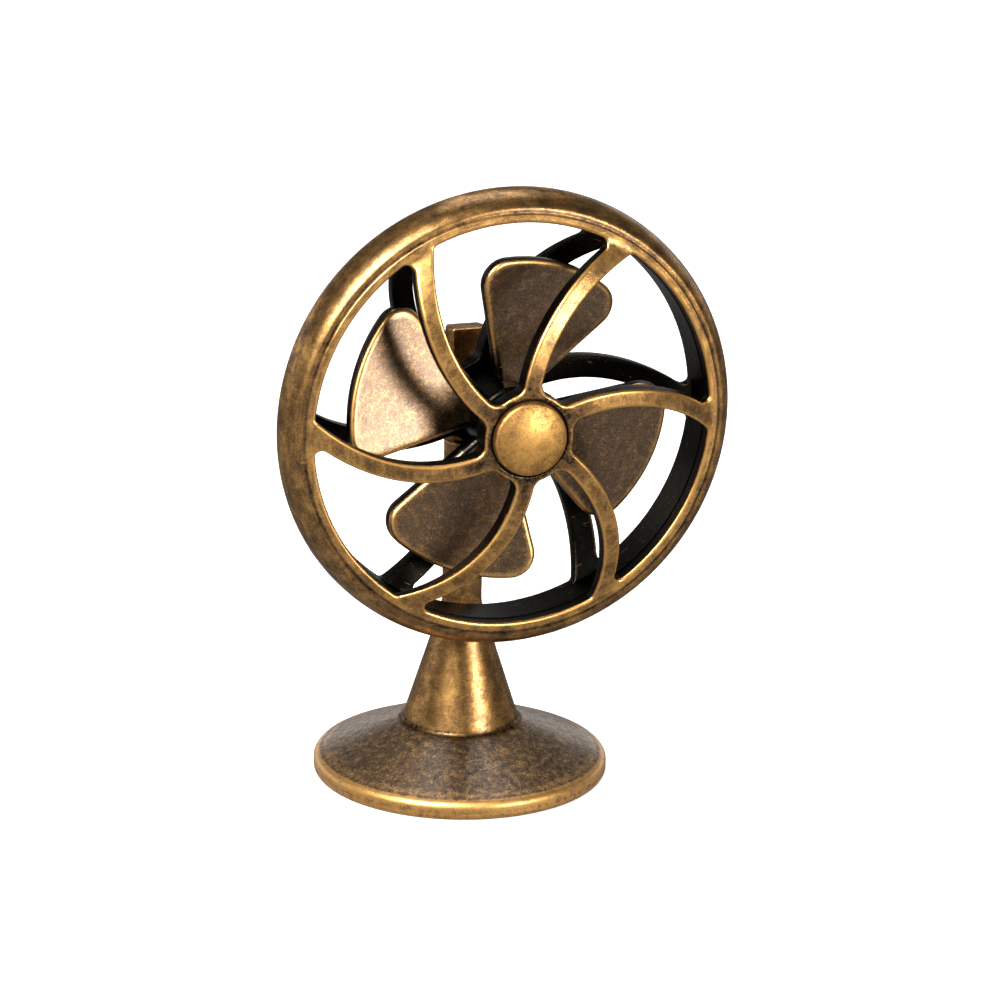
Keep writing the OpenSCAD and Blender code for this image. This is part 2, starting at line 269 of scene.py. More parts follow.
def rounded(corners, steps=4):
    """A profile from (r, z, rounding, wear) corners: each rounding is an arc with a plain margin."""
    margin_share = 0.35
    profile = []
    count = len(corners)
    for i, (r, z, radius, wear) in enumerate(corners):
        here = Vector((r, z))
        if radius <= 0 or i in (0, count - 1):
            profile.append((r, z, wear))
            continue
        back = (Vector(corners[i - 1][:2]) - here).normalized()
        on = (Vector(corners[i + 1][:2]) - here).normalized()
        half = back.angle(on) / 2
        reach = radius / math.tan(half)
        middle = here + (back + on).normalized() * radius / math.sin(half)
        first, last = here + back * reach, here + on * reach
        margin = margin_share * radius
        profile.append((*(first + back * margin), 0.0))
        for k in range(steps + 1):
            spoke = mix(first - middle, last - middle, k / steps).normalized()
            profile.append((*(middle + spoke * radius), wear))
        profile.append((*(last + on * margin), 0.0))
    return profile


class Skin:
    """Rows of points with their wear, which also holds painted shade, and the faces between rows."""

    def __init__(self):
        self.points, self.wear, self.faces = [], [], []

    def row(self, points, wear=0.0):
        first = len(self.points)
        self.points.extend(tuple(p) for p in points)
        self.wear.extend(wear if isinstance(wear, list) else [wear] * len(points))
        return list(range(first, first + len(points)))

    def bridge(self, a, b, closed):
        for i in range(len(a) if closed else len(a) - 1):
            j = (i + 1) % len(a)
            self.faces.append((a[i], a[j], b[j], b[i]))

    def sheet(self, rows, closed):
        for a, b in zip(rows, rows[1:]):
            self.bridge(a, b, closed)

    def lathe(self, profile, steps, squeeze=None):
        """Turns a profile of (r, z, wear) round the z axis, the wear also holding painted shade; squeeze gives
        each ring's limit of |y|.
        """
        rows = []
        for k, (r, z, wear) in enumerate(profile):
            ring, rub = [], []
            limit = squeeze[k] if squeeze else None
            for i in range(steps):
                p = unit(2 * math.pi * i / steps) * max(r, 0.0)
                worn_and_shaded = wear
                if limit is not None and abs(p.y) > limit:
                    worn_and_shaded = max(wear, 1 - (abs(p.y) - limit) / SQUEEZE_RUB)
                    p.y = math.copysign(limit, p.y)
                ring.append((p.x, p.y, z))
                rub.append(worn_and_shaded)
            rows.append(self.row(ring, rub))
        self.sheet(rows, True)


def place_head(p):
    """Places a point of the head, given as (right, up, forward) from the rotor's axis."""
    return (p[0], -p[2], AXIS_H + p[1])


def place_stand(p):
    """Leaves a point of the stand where it is."""
    return p


# ---------------------------------------------------------------- meshes and objects

def clean(mesh):
    """Welds doubles, drops empty faces and turns every face outwards."""
    bm = bmesh.new()
    bm.from_mesh(mesh)
    bmesh.ops.remove_doubles(bm, verts=bm.verts, dist=WELD)
    bmesh.ops.dissolve_degenerate(bm, edges=bm.edges, dist=WELD)
    bmesh.ops.recalc_face_normals(bm, faces=bm.faces)
    bm.to_mesh(mesh)
    bm.free()
    mesh.shade_smooth()
    mesh.set_sharp_from_angle(angle=SHARP_ANGLE)
    mesh.update()


def mesh_of(name, skin, place):
    """A mesh of a skin, each point put in its place, with the wear, which also holds painted shade, as an
    attribute.
    """
    mesh = bpy.data.meshes.new(name)
    mesh.from_pydata([Vector(place(p)) * MM for p in skin.points], [], skin.faces)
    mesh.attributes.new(WEAR_AND_SHADE, "FLOAT", "POINT").data.foreach_set("value", skin.wear)
    return mesh


def show(name, mesh, material):
    """Adds a mesh to the scene in one material."""
    obj = bpy.data.objects.new(name, mesh)
    bpy.context.scene.collection.objects.link(obj)
    obj.data.materials.clear()
    obj.data.materials.append(material)
    return obj


def join(name, *meshes):
    """One mesh holding the closed shells of several."""
    bm = bmesh.new()
    for mesh in meshes:
        bm.from_mesh(mesh)
    joined = bpy.data.meshes.new(name)
    bm.to_mesh(joined)
    bm.free()
    return joined


def fit(obj, body, slot, *nodes):
    """Rides a finished piece on its body, in place of its CAD nodes."""
    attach(obj, body)
    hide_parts(*nodes)


def turned(name, profile, material, place, steps=160, squeeze=None):
    """A lathe-turned piece."""
    skin = Skin()
    skin.lathe(profile, steps, squeeze)
    mesh = mesh_of(name, skin, place)
    clean(mesh)
    return show(name, mesh, material)


# ---------------------------------------------------------------- geometry nodes: a sector repeated

def link_in(tree, node, key, value):
    """Sets a node's input to a value, or links a socket to it."""
    socket = node.inputs[key]
    if isinstance(value, bpy.types.NodeSocket):
        tree.links.new(value, socket)
    else:
        socket.default_value = value


def add(tree, kind, settings=None, **inputs):
    """Adds a node; inputs are given by name, or by place as _0, _1 and so on."""
    node = tree.nodes.new(kind)
    for key, value in (settings or {}).items():
        setattr(node, key, value)
    for key, value in inputs.items():
        link_in(tree, node, int(key[1:]) if key[0] == "_" else key.replace("_", " "), value)
    return node


def round_pattern_tree():
    """Repeats its geometry a number of times round Z, stands it up and welds the seams."""
    tree = bpy.data.node_groups.new("Round pattern", "GeometryNodeTree")
    sockets = [
        ("Sector", "NodeSocketGeometry"), ("Count", "NodeSocketInt"), ("Axis height", "NodeSocketFloat"),
        ("Weld distance", "NodeSocketFloat"), ("Material", "NodeSocketMaterial"),
    ]
    for name, kind in sockets:
        tree.interface.new_socket(name, in_out="INPUT", socket_type=kind)
    tree.interface.new_socket("Whole", in_out="OUTPUT", socket_type="NodeSocketGeometry")
    given = add(tree, "NodeGroupInput").outputs
    step = add(tree, "ShaderNodeMath", {"operation": "DIVIDE"}, _0=2 * math.pi, _1=given["Count"])
    index = add(tree, "GeometryNodeInputIndex")
    turn = add(tree, "ShaderNodeMath", {"operation": "MULTIPLY"}, _0=index.outputs[0], _1=step.outputs[0])
    rotation = add(tree, "FunctionNodeAxisAngleToRotation", Axis=(0, 0, 1), Angle=turn.outputs[0])
    points = add(tree, "GeometryNodePoints", Count=given["Count"])
    copies = add(
        tree, "GeometryNodeInstanceOnPoints", Points=points.outputs[0], Instance=given["Sector"],
        Rotation=rotation.outputs[0],
    )
    height = add(tree, "ShaderNodeCombineXYZ", Z=given["Axis height"])
    upright = add(
        tree, "GeometryNodeTransform", Geometry=copies.outputs[0], Translation=height.outputs[0],
        Rotation=(math.pi / 2, 0, 0),
    )
    real = add(tree, "GeometryNodeRealizeInstances", Geometry=upright.outputs[0])
    weld = add(tree, "GeometryNodeMergeByDistance", Geometry=real.outputs[0], Distance=given["Weld distance"])
    painted = add(tree, "GeometryNodeSetMaterial", Geometry=weld.outputs[0], Material=given["Material"])
    out = add(tree, "NodeGroupOutput")
    tree.links.new(painted.outputs[0], out.inputs[0])
    return tree


def repeat_round(name, sector, count, material):
    """The plain, welded mesh of a sector repeated round the head's axis."""
    tree = bpy.data.node_groups.get("Round pattern") or round_pattern_tree()
    obj = show(name + "_sector", mesh_of(name, sector, place_stand), material)
    modifier = obj.modifiers.new("Round pattern", "NODES")
    modifier.node_group = tree
    values = {"Count": count, "Axis height": AXIS_H * MM, "Weld distance": WELD, "Material": material}
    for item in tree.interface.items_tree:
        if item.in_out == "INPUT" and item.name in values:
            modifier[item.identifier] = values[item.name]
    graph = bpy.context.evaluated_depsgraph_get()
    mesh = bpy.data.meshes.new_from_object(obj.evaluated_get(graph))
    bpy.data.objects.remove(obj)
    mesh.name = name
    return mesh


# ---------------------------------------------------------------- guard halves

# steps along the outline of an opening
RING_ARC = 36  # along the ring
RING_CORNER = 5  # the half of a ring corner that is next to the ring
SIDE_CORNER = 5  # the half that is next to the spoke
SIDE = 44  # along a spoke
HUB_CORNER = 7  # half of a hub corner
HUB_ARC = 5  # along the hub

# where the outline and the sector's border turn, counted from the first spoke at the ring
ARC_END = RING_CORNER + RING_ARC
RING_END = 2 * RING_CORNER + RING_ARC
HUB_START = RING_END + SIDE_CORNER + SIDE + HUB_CORNER
HUB_END = HUB_START + 2 * HUB_CORNER + HUB_ARC

HUB_FACE_WEAR = -0.32
RING_FACE_WEAR = 0.26
FACE_WEAR_FADE = 2.4  # how far from the hub the face is fully rubbed
SPOKE_MIDDLE_DULLING = 0.16  # wear lost along the middle of a spoke
HUB_EDGE_DULLING = 1.5  # wear lost by edges near the hub, as a share of the face's
INNER_EDGE_SHARE = 0.6  # rounding of the inner edges, as a share of the outer edges'


class GuardHalf:
    """One half of the guard: side is 1 for the front, -1 for the rear."""

    def __init__(self, g, side):
        self.side = side
        self.lip_f = SEAM_F + g.front_h / MM if side > 0 else SEAM_F - g.rear_h / MM
        self.open_r = g.open_r / MM if side > 0 else (g.open_r - g.rear_step) / MM
        self.lip_r = self.open_r + (g.lip_w if side > 0 else g.rear_lip_w) / MM
        self.ring_r = FRONT_R if side > 0 else REAR_R
        self.ring_h = abs(self.lip_f - SEAM_F)
        self.spigot_r = g.spigot_r / MM + (FIT_GAP if side > 0 else 0)
        self.bend = g.bend_r / MM
        self.half_w = (g.spoke_w if side > 0 else g.rear_spoke_w) / MM / 2
        self.dome_h, self.power, self.full_r = g.dome_h / MM, g.dome_power, g.open_r / MM
        self.rim_t, self.hub_t, self.hub_r = g.rim_t / MM, g.hub_t / MM, g.hub_r / MM
        self.edge, self.groove = g.edge_r / MM, g.groove / MM
        self.sector = 2 * math.pi / g.spoke_count
        self.bend_a = g.start_a - math.pi / 2
        self.ring_q, self.hub_q = g.ring_corner_r / MM, g.hub_corner_r / MM
        self.in_r = CAP_RECESS_R + 0.1

    def rise(self, r):
        """Share of the dome's height at a radius, eased to nothing at the lip."""
        ease = 0.0016
        share = 1 - (max(r, 0.0) / self.full_r) ** self.power
        return 0.5 * (share + math.sqrt(share * share + ease)) - ease / 4

    def outer(self, r):
        """Level of the outer face at a radius."""
        return self.lip_f + self.side * self.dome_h * self.rise(r)

    def inner(self, r):
        """Level of the inner face at a radius."""
        rise = self.dome_h + self.rim_t - self.hub_t
        return self.lip_f + self.side * (rise * self.rise(r) - self.rim_t)

    def face_wear(self, p):
        """The front of a half is dull round its hub and rubbed towards the ring."""
        share = (p.length - self.hub_r) / FACE_WEAR_FADE
        return mix(HUB_FACE_WEAR, RING_FACE_WEAR, clamped(share))

    def spoke_centre(self, k):
        """Centre of the arc that a spoke's middle line follows."""
        return unit(self.bend_a + k * self.sector) * self.bend

    def spoke_angle(self, k, r):
        """Direction of a spoke's middle line at a radius."""
        return self.bend_a + k * self.sector + math.acos(r / (2 * self.bend))

    def opening(self):
        """Outline of one opening with rounded corners, and at each point the way into the metal."""
        hub = Vector((0, 0))
        low_c, high_c = self.spoke_centre(0), self.spoke_centre(1)
        low_r, high_r = self.bend + self.half_w, self.bend - self.half_w
        ring_r, hub_r, q, p = self.open_r, self.hub_r, self.ring_q, self.hub_q
        near = {(k, r): unit(self.spoke_angle(k, r)) * r for k in (0, 1) for r in (ring_r, hub_r)}
        f1 = circles_meet(hub, ring_r - q, low_c, low_r + q, near[0, ring_r])
        f2 = circles_meet(hub, ring_r - q, high_c, high_r - q, near[1, ring_r])
        f3 = circles_meet(hub, hub_r + p, high_c, high_r - p, near[1, hub_r])
        f4 = circles_meet(hub, hub_r + p, low_c, low_r + p, near[0, hub_r])

        def touch(centre, radius, fillet):
            return centre + (fillet - centre).normalized() * radius

        r1, r2 = touch(hub, ring_r, f1), touch(hub, ring_r, f2)
        h3, h4 = touch(hub, hub_r, f3), touch(hub, hub_r, f4)
        s1, s4 = touch(low_c, low_r, f1), touch(low_c, low_r, f4)
        s2, s3 = touch(high_c, high_r, f2), touch(high_c, high_r, f3)
        ring_steps, hub_steps = RING_CORNER + SIDE_CORNER, 2 * HUB_CORNER
        legs = [
            (hub, r1, r2, RING_ARC, 1, 1), (f2, r2, s2, ring_steps, 1, 1),
            (high_c, s2, s3, SIDE, 1, 1), (f3, s3, h3, hub_steps, 1, 1),
            (hub, h3, h4, HUB_ARC, -1, -1), (f4, h4, s4, hub_steps, 1, 1),
            (low_c, s4, s1, SIDE, -1, -1), (f1, s1, r1, ring_steps, 1, 1),
        ]
        line, inward = [], []
        for centre, start, end, steps, turn, way in legs:
            leg = arc(centre, start, end, steps, turn)
            line += leg
            inward += [(point - centre).normalized() * way for point in leg]
        shift = len(line) - RING_CORNER
        return line[shift:] + line[:shift], inward[shift:] + inward[:shift]

    def arc_turns(self, r, first, last, steps):
        """Directions at a radius, evenly from one spoke's middle to another's, both included."""
        low, high = self.spoke_angle(first, r), self.spoke_angle(last, r)
        return [mix(low, high, i / steps) for i in range(steps + 1)]

    def border(self, line, r_out, on_ring):
        """The sector's own border, point for point with the outline; on_ring keeps to the ring's arc."""
        low, high = heading(line[RING_CORNER]), heading(line[ARC_END])
        high = near_turn(high, low + self.sector / 2)
        ring_turns = self.arc_turns(r_out, 0, 1, RING_END)
        hub_turns = self.arc_turns(self.in_r, 1, 0, HUB_END - HUB_START)
        border = []
        for i, point in enumerate(line):
            if i < RING_END and on_ring:
                if i < RING_CORNER:
                    turn = mix(self.spoke_angle(0, r_out), low, i / RING_CORNER)
                elif i <= ARC_END:
                    border.append(point.copy())
                    continue
                else:
                    turn = mix(high, self.spoke_angle(1, r_out), (i - ARC_END) / RING_CORNER)
                border.append(unit(turn) * r_out)
            elif i < RING_END:
                border.append(unit(ring_turns[i]) * r_out)
            elif i < HUB_START or i > HUB_END:
                spoke, far, close = (1, RING_END, HUB_START) if i < HUB_START else (0, 0, HUB_END)
                far, close = line[far].length, line[close].length
                r = mix(self.in_r, r_out, (point.length - close) / (far - close))
                border.append(unit(self.spoke_angle(spoke, r)) * r)
            else:
                border.append(unit(hub_turns[i - HUB_START]) * self.in_r)
        return border

    def ring_profile(self, end_f):
        """Ring section of (radius, level, wear), from its inner wall's bottom round the outside to the lip."""
        s, lip_r, lip_f = self.side, self.lip_r, self.lip_f
        valley_f = lip_f - s * self.groove
        joint = [
            (self.open_r, end_f, -1.0),
            (self.spigot_r, end_f, -1.0),
            (self.spigot_r, SEAM_F, -1.0),
            (self.ring_r - 0.05, SEAM_F, -0.3),
        ]
        round_face = ellipse((lip_r, SEAM_F), self.ring_r - lip_r, s * self.ring_h, 3, 71, 20)
        valley = [
            (lip_r + 0.30, valley_f, -0.05),
            (lip_r + 0.20, valley_f - s * 0.015, -0.32),
            (lip_r + 0.11, mix(valley_f, lip_f, 0.15), -0.32),
            (lip_r + 0.05, mix(valley_f, lip_f, 0.65), 0.0),
            (lip_r + 0.015, lip_f - s * 0.012, 0.3),
            (lip_r, lip_f, 0.3),
        ]
        return joint + round_face + valley

    def level_row(self, skin, points, level, wear):
        """A row of flat points, each at the level of its radius."""
        return skin.row([(p.x, p.y, level(p.length)) for p in points], wear)

    def skin(self, end_f, hub_profile):
        """One sector: opening walls, both faces, ring and hub."""
        line, inward = self.opening()
        inner_border = self.border(line, self.open_r, True)
        cut = self.inner_cut(len(line))
        skin = Skin()
        self.outer_face(skin, line, inward, cut)
        self.inner_face(skin, line, inward, cut, inner_border)
        self.ring(skin, end_f, inner_border)
        self.hub(skin, hub_profile)
        return skin

    def inner_cut(self, total):
        """Rounding of the inner edge at each point, fading out where an opening follows the ring."""
        cut = []
        for i in range(total):
            steps_off = min(abs(i - RING_CORNER), abs(i - ARC_END), abs(i - RING_CORNER - total))
            on_arc = RING_CORNER <= i <= ARC_END
            fade = 0.0 if on_arc else min(1.0, steps_off / (RING_CORNER + SIDE_CORNER))
            cut.append(INNER_EDGE_SHARE * self.edge * fade)
        return cut

    def outer_face(self, skin, line, inward, cut):
        """The outer face from the sector's border, its rounded edge, and the opening's wall."""
        s, b = self.side, self.edge
        border = self.border(line, self.lip_r, False)
        rows = []
        for t in (0, 0.3, 0.6, 0.86):
            points = [mix(edge, p + n * b, t) for edge, p, n in zip(border, line, inward)]
            wear = [self.face_wear(p) - SPOKE_MIDDLE_DULLING * (1 - t) for p in points]
            rows.append(self.level_row(skin, points, self.outer, wear))
        rubs = (0.35, 0.9, 1.0, 0.6, -0.5)
        for k, rub in enumerate(rubs):
            turn = math.radians(90 * k / 4)
            points = [p + n * b * (1 - math.sin(turn)) for p, n in zip(line, inward)]
            drop = s * b * (1 - math.cos(turn))
            wear = [rub + HUB_EDGE_DULLING * min(0.0, self.face_wear(p)) for p in points]
            rows.append(self.level_row(skin, points, lambda r: self.outer(r) - drop, wear))
        tops = [self.outer(p.length) - s * b for p in line]
        feet = [self.inner(p.length) + s * c for p, c in zip(line, cut)]
        for t in (0.2, 0.6, 1.0):
            wall = [(p.x, p.y, mix(top, foot, t)) for p, top, foot in zip(line, tops, feet)]
            rows.append(skin.row(wall, -1.0))
        skin.sheet(rows, True)

    def inner_face(self, skin, line, inward, cut, inner_border):
        """The inner face and its rounded edge, round the outline except along the ring."""
        strip = [*range(ARC_END, len(line)), *range(RING_CORNER + 1)]
        rows = []
        for k in range(4):
            turn = math.radians(30 * k)
            row = []
            for i in strip:
                p = line[i] + inward[i] * cut[i] * (1 - math.cos(turn))
                row.append((p.x, p.y, self.inner(p.length) + self.side * cut[i] * (1 - math.sin(turn))))
            rows.append(skin.row(row, -1.0 if k == 0 else -0.55))
        for t in (0.2, 0.6, 1.0):
            points = [mix(line[i] + inward[i] * cut[i], inner_border[i], t) for i in strip]
            rows.append(self.level_row(skin, points, self.inner, -0.8))
        skin.sheet(rows, False)

    def ring(self, skin, end_f, inner_border):
        """The ring's inner wall, then its section, from one spoke's middle to the next."""
        wall_turns = [heading(p) for p in inner_border[: RING_END + 1]]
        middle = wall_turns[0] + self.sector / 2
        wall_turns = [near_turn(turn, middle) for turn in wall_turns]
        even_turns = self.arc_turns(self.lip_r, 0, 1, RING_END)
        start_f = self.inner(self.open_r)
        wall = [(self.open_r, mix(start_f, end_f, t), -1.0) for t in (0, 0.5)]
        section = self.ring_profile(end_f)
        section[-1] = (self.lip_r, self.outer(self.lip_r), section[-1][2])
        rows = []
        for k, (r, f, wear) in enumerate(wall + section):
            ease = clamped((k - 2) / 3)
            points = [unit(mix(w, e, ease)) * r for w, e in zip(wall_turns, even_turns)]
            rows.append(skin.row([(p.x, p.y, f) for p in points], wear))
        skin.sheet(rows, False)

    def hub(self, skin, hub_profile):
        """The hub, from the outer face to the inner face."""
        turns = self.arc_turns(self.in_r, 1, 0, HUB_END - HUB_START)
        start = (self.in_r, self.outer(self.in_r), -0.45)
        end = (self.in_r, self.inner(self.in_r), -0.8)
        rows = []
        for r, f, wear in [start, *hub_profile, end]:
            rows.append(skin.row([(r * math.cos(a), r * math.sin(a), f) for a in turns], wear))
        skin.sheet(rows, False)


def neck_lugs(radius, start_x, low, high, steps=16):
    """The two lugs of the rear hub's neck: the parts of a disc beyond start_x, on either side."""
    lugs = []
    reach = math.acos(start_x / radius)
    for way in (0, math.pi):
        skin = Skin()
        outline = [unit(way + mix(-reach, reach, i / steps)) * radius for i in range(steps + 1)]
        middle = sum(outline, Vector((0, 0))) / len(outline)
        rows = [skin.row([(middle.x, middle.y, low)] * len(outline), -0.3)]
        rows += [skin.row([(p.x, p.y, f) for p in outline], 0.3) for f in (low, high)]
        rows += [skin.row([(middle.x, middle.y, high)] * len(outline), -0.3)]
        skin.sheet(rows, True)
        lugs.append(skin)
    return lugs


class FAN_OT_front_guard(bpy.types.Operator):
    """Makes the front guard half: ring, swirled spokes and hub"""

    bl_idname = "fan.front_guard"
    bl_label = "Front guard"

    def execute(self, context):
        g = context.scene.fan_guard
        half = GuardHalf(g, 1)
        boss_f = FRONT_WASHER[1]
        face = half.outer(CAP_RECESS_R)
        # (radius, level, wear) from the recess round the cap, through the bore, to the washer's seat. The low
        # wear of the first three rows is painted shade: it darkens the recess's edge like the shaded gap round
        # the cap.
        hub = [
            (CAP_RECESS_R + 0.07, face, -0.6),
            (CAP_RECESS_R + 0.02, face - 0.02, -0.5),
            (CAP_RECESS_R, face - 0.07, -0.9),
            (CAP_RECESS_R, CAP_SEAT_F, -1.0),
            (BORE_R, CAP_SEAT_F, -1.0),
            (BORE_R, boss_f, -1.0),
            (WASHER_R, boss_f, -0.6),
            (WASHER_R, half.inner(WASHER_R), -1.0),
        ]
        material = materials()["guard"]
        sector = half.skin(SPIGOT_F + FIT_GAP, hub)
        mesh = repeat_round("front_guard_casting", sector, g.spoke_count, material)
        clean(mesh)
        fit(show("front_guard_casting", mesh, material), "stand", "guard_patina", "front_guard")
        return {"FINISHED"}


class FAN_OT_rear_guard(bpy.types.Operator):
    """Makes the rear guard half, with its hub slotted over the post's flats"""

    bl_idname = "fan.rear_guard"
    bl_label = "Rear guard"

    def execute(self, context):
        g, stand = context.scene.fan_guard, context.scene.fan_stand
        half = GuardHalf(g, -1)
        boss_f = REAR_WASHER[0]
        neck_r = 0.7 * half.hub_r
        slot_f = stand.tang_t / MM / 2 + FIT_GAP
        # (radius, level, wear) from the neck, through the bore, to the washer's seat
        hub = [
            (neck_r + 0.1, half.outer(neck_r), -0.4),
            (neck_r, half.outer(neck_r) - 0.1, -0.6),
            (neck_r, slot_f, 0.2),
            (BORE_R, slot_f, -1.0),
            (BORE_R, boss_f, -1.0),
            (WASHER_R, boss_f, -0.6),
            (WASHER_R, half.inner(WASHER_R), -1.0),
        ]
        material = materials()["rear_guard"]
        whole = repeat_round("rear_guard_casting", half.skin(SPIGOT_F, hub), g.spoke_count, material)
        lugs = neck_lugs(neck_r, stand.post_r / MM + FIT_GAP, NECK_BACK_F, slot_f + 0.1)
        mesh = join("rear_guard_casting", whole, *(mesh_of("lug", lug, place_head) for lug in lugs))
        clean(mesh)
        fit(show("rear_guard_casting", mesh, material), "stand", "rear_guard_patina", "rear_guard")
        return {"FINISHED"}


# ---------------------------------------------------------------- rotor

# steps along the outline of a blade
BLADE_SIDE = 24
BLADE_CORNER = 12
BLADE_TIP = 26
BLADE_ROOT = 8


def blade_outline(r):
    """Outline of one blade with rounded outer corners, and at each point the way out of the metal."""
    tip, q = r.blade_r / MM, r.corner_r / MM
    root = 0.8 * r.hub_r / MM
    inner = tip - q
    lean = math.asin(q / inner)
    low, high = unit(r.start_a), unit(r.start_a + r.span)
    low_c, high_c = unit(r.start_a + lean) * inner, unit(r.start_a + r.span - lean) * inner
    low_foot, high_foot = low * low.dot(low_c), high * high.dot(high_c)
    low_tip, high_tip = low_c.normalized() * tip, high_c.normalized() * tip
    axis = Vector((0, 0))
    trailing = [mix(low * root, low_foot, i / BLADE_SIDE) for i in range(BLADE_SIDE)]
    leading = [mix(high_foot, high * root, i / BLADE_SIDE) for i in range(BLADE_SIDE)]
    out_low, out_high = Vector((low.y, -low.x)), Vector((-high.y, high.x))
    legs = [
        (trailing, lambda p: out_low),
        (arc(low_c, low_foot, low_tip, BLADE_CORNER, 1), lambda p: (p - low_c).normalized()),
        (arc(axis, low_tip, high_tip, BLADE_TIP, 1), lambda p: p.normalized()),
        (arc(high_c, high_tip, high_foot, BLADE_CORNER, 1), lambda p: (p - high_c).normalized()),
        (leading, lambda p: out_high),
        (arc(axis, high * root, low * root, BLADE_ROOT, -1), lambda p: -p.normalized()),
    ]
    line = [p for leg, _ in legs for p in leg]
    outward = [away(p) for leg, away in legs for p in leg]
    return line, outward


def blade_skin(r):
    """One blade: a pitched and slightly dished plate with a soft front edge."""
    tip, edge = r.blade_r / MM, r.edge_r / MM
    back = BLADE_BACK_EDGE
    line, outward = blade_outline(r)
    middle = unit(r.start_a + r.span / 2)
    spine = [middle * min(max(p.dot(middle), 0.35 * tip), 0.78 * tip) for p in line]
    hinge = unit(r.start_a + r.pitch_line)
    across = Vector((-hinge.y, hinge.x))
    face_f, slope, dish = SEAM_F - r.face_set / MM, math.tan(r.pitch), r.dish / MM

    def top(p):
        hollow = max(0.0, 1 - ((p - middle * 0.62 * tip).length / (0.5 * tip)) ** 2)
        return face_f + slope * p.dot(across) - dish * hollow

    def bottom(p):
        return face_f + slope * p.dot(across) - r.thick / MM / math.cos(r.pitch)

    skin = Skin()
    rows = []
    for t in (1, 0.72, 0.45, 0.22, 0.07):
        points = [mix(p - n * edge, mid, t) for p, n, mid in zip(line, outward, spine)]
        rows.append(skin.row([(p.x, p.y, top(p)) for p in points], 0.0))
    rubs = (0.3, 0.65, 0.85, 0.7, 0.1, -0.8)
    for k, rub in enumerate(rubs):
        turn = math.radians(90 * k / 5)
        points = [p - n * edge * (1 - math.sin(turn)) for p, n in zip(line, outward)]
        wear = [mix(-0.7, rub, clamped((p.length / tip - 0.3) / 0.2)) for p in points]
        rows.append(skin.row([(p.x, p.y, top(p) - edge * (1 - math.cos(turn))) for p in points], wear))
    rows.append(skin.row([(p.x, p.y, bottom(p) + back) for p in line], -0.8))
    for k in range(1, 4):
        turn = math.radians(30 * k)
        points = [p - n * back * (1 - math.cos(turn)) for p, n in zip(line, outward)]
        rows.append(skin.row([(p.x, p.y, bottom(p) + back * (1 - math.sin(turn))) for p in points], 0.4))
    for t in (0.2, 0.6, 1):
        points = [mix(p - n * back, mid, t) for p, n, mid in zip(line, outward, spine)]
        rows.append(skin.row([(p.x, p.y, bottom(p)) for p in points], -0.2))
    skin.sheet(rows, True)
    return skin


class FAN_OT_rotor(bpy.types.Operator):
    """Makes the rotor: a hub and its pitched blades"""

    bl_idname = "fan.rotor"
    bl_label = "Rotor"

    def execute(self, context):
        r = context.scene.fan_rotor
        material = materials()["blade"]
        blades = repeat_round("blades", blade_skin(r), r.blade_count, material)
        low, high, hub_r = *ROTOR_HUB, r.hub_r / MM
        bore = AXLE_R + ROTOR_BORE_GAP
        hub = Skin()
        hub_line = rounded([
            (bore, low, 0, 0),
            (hub_r, low, 0.2, 0),
            (hub_r, high, 0.35, 0),
            (bore, high, 0.05, 0),
            (bore, low, 0, 0),
        ])
        # every point of the hub gets the darkest wear: painted shade over the hub, which sits between the two
        # guard hubs
        hub.lathe([(radius, f, -1.0) for radius, f, _ in hub_line], 120)
        mesh = join("rotor_casting", blades, mesh_of("hub", hub, place_head))
        clean(mesh)
        fit(show("rotor_casting", mesh, material), "rotor", "blade_patina", "rotor")
        return {"FINISHED"}


# ---------------------------------------------------------------- stand and trim

class FAN_OT_foot(bpy.types.Operator):
    """Makes the round foot and the felt pad under it"""

    bl_idname = "fan.foot"
    bl_label = "Foot"

    def execute(self, context):
        s = context.scene.fan_stand
        rim, rim_h = s.rim_r / MM, s.rim_h / MM
        recess_r = PAD_R + FIT_GAP
        seat_r = POST_FOOT_R - 0.05
        rim_wear = 0.6
        low, high = Vector((FOOT_R, rim_h)), Vector((seat_r, SEAT_H))
        shoulder, dull = mix(low, high, 0.13), mix(low, high, 0.2)
        foot = rounded([
            (0, PAD_H, 0, -0.5),
            (recess_r, PAD_H, 0.02, -1.0),
            (recess_r, 0, 0.06, 0.3),
            (FOOT_R, 0, rim, 0.8),
            (FOOT_R, rim_h, rim + 0.1, 0.9),
            (*shoulder, 0, 0.3),
            (*dull, 0, 0.0),
            (seat_r, SEAT_H, 0.1, -0.3),
            (0, SEAT_H, 0, -0.5),
        ], 8)
        foot = [(r, z, max(wear, rim_wear) if r > FOOT_R - 0.02 else wear) for r, z, wear in foot]
        casting = turned("foot_casting", foot, materials()["foot"], place_stand, 224)
        fit(casting, "stand", "stand_patina", "base_disc")
        pad = rounded([(0, 0, 0, 0), (PAD_R, 0, 0.1, 0), (PAD_R, PAD_H, 0.05, 0), (0, PAD_H, 0, 0)])
        felt_pad = turned("felt_pad", pad, materials()["felt"], place_stand)
        fit(felt_pad, "stand", "pad_felt", "base_pad")
        return {"FINISHED"}


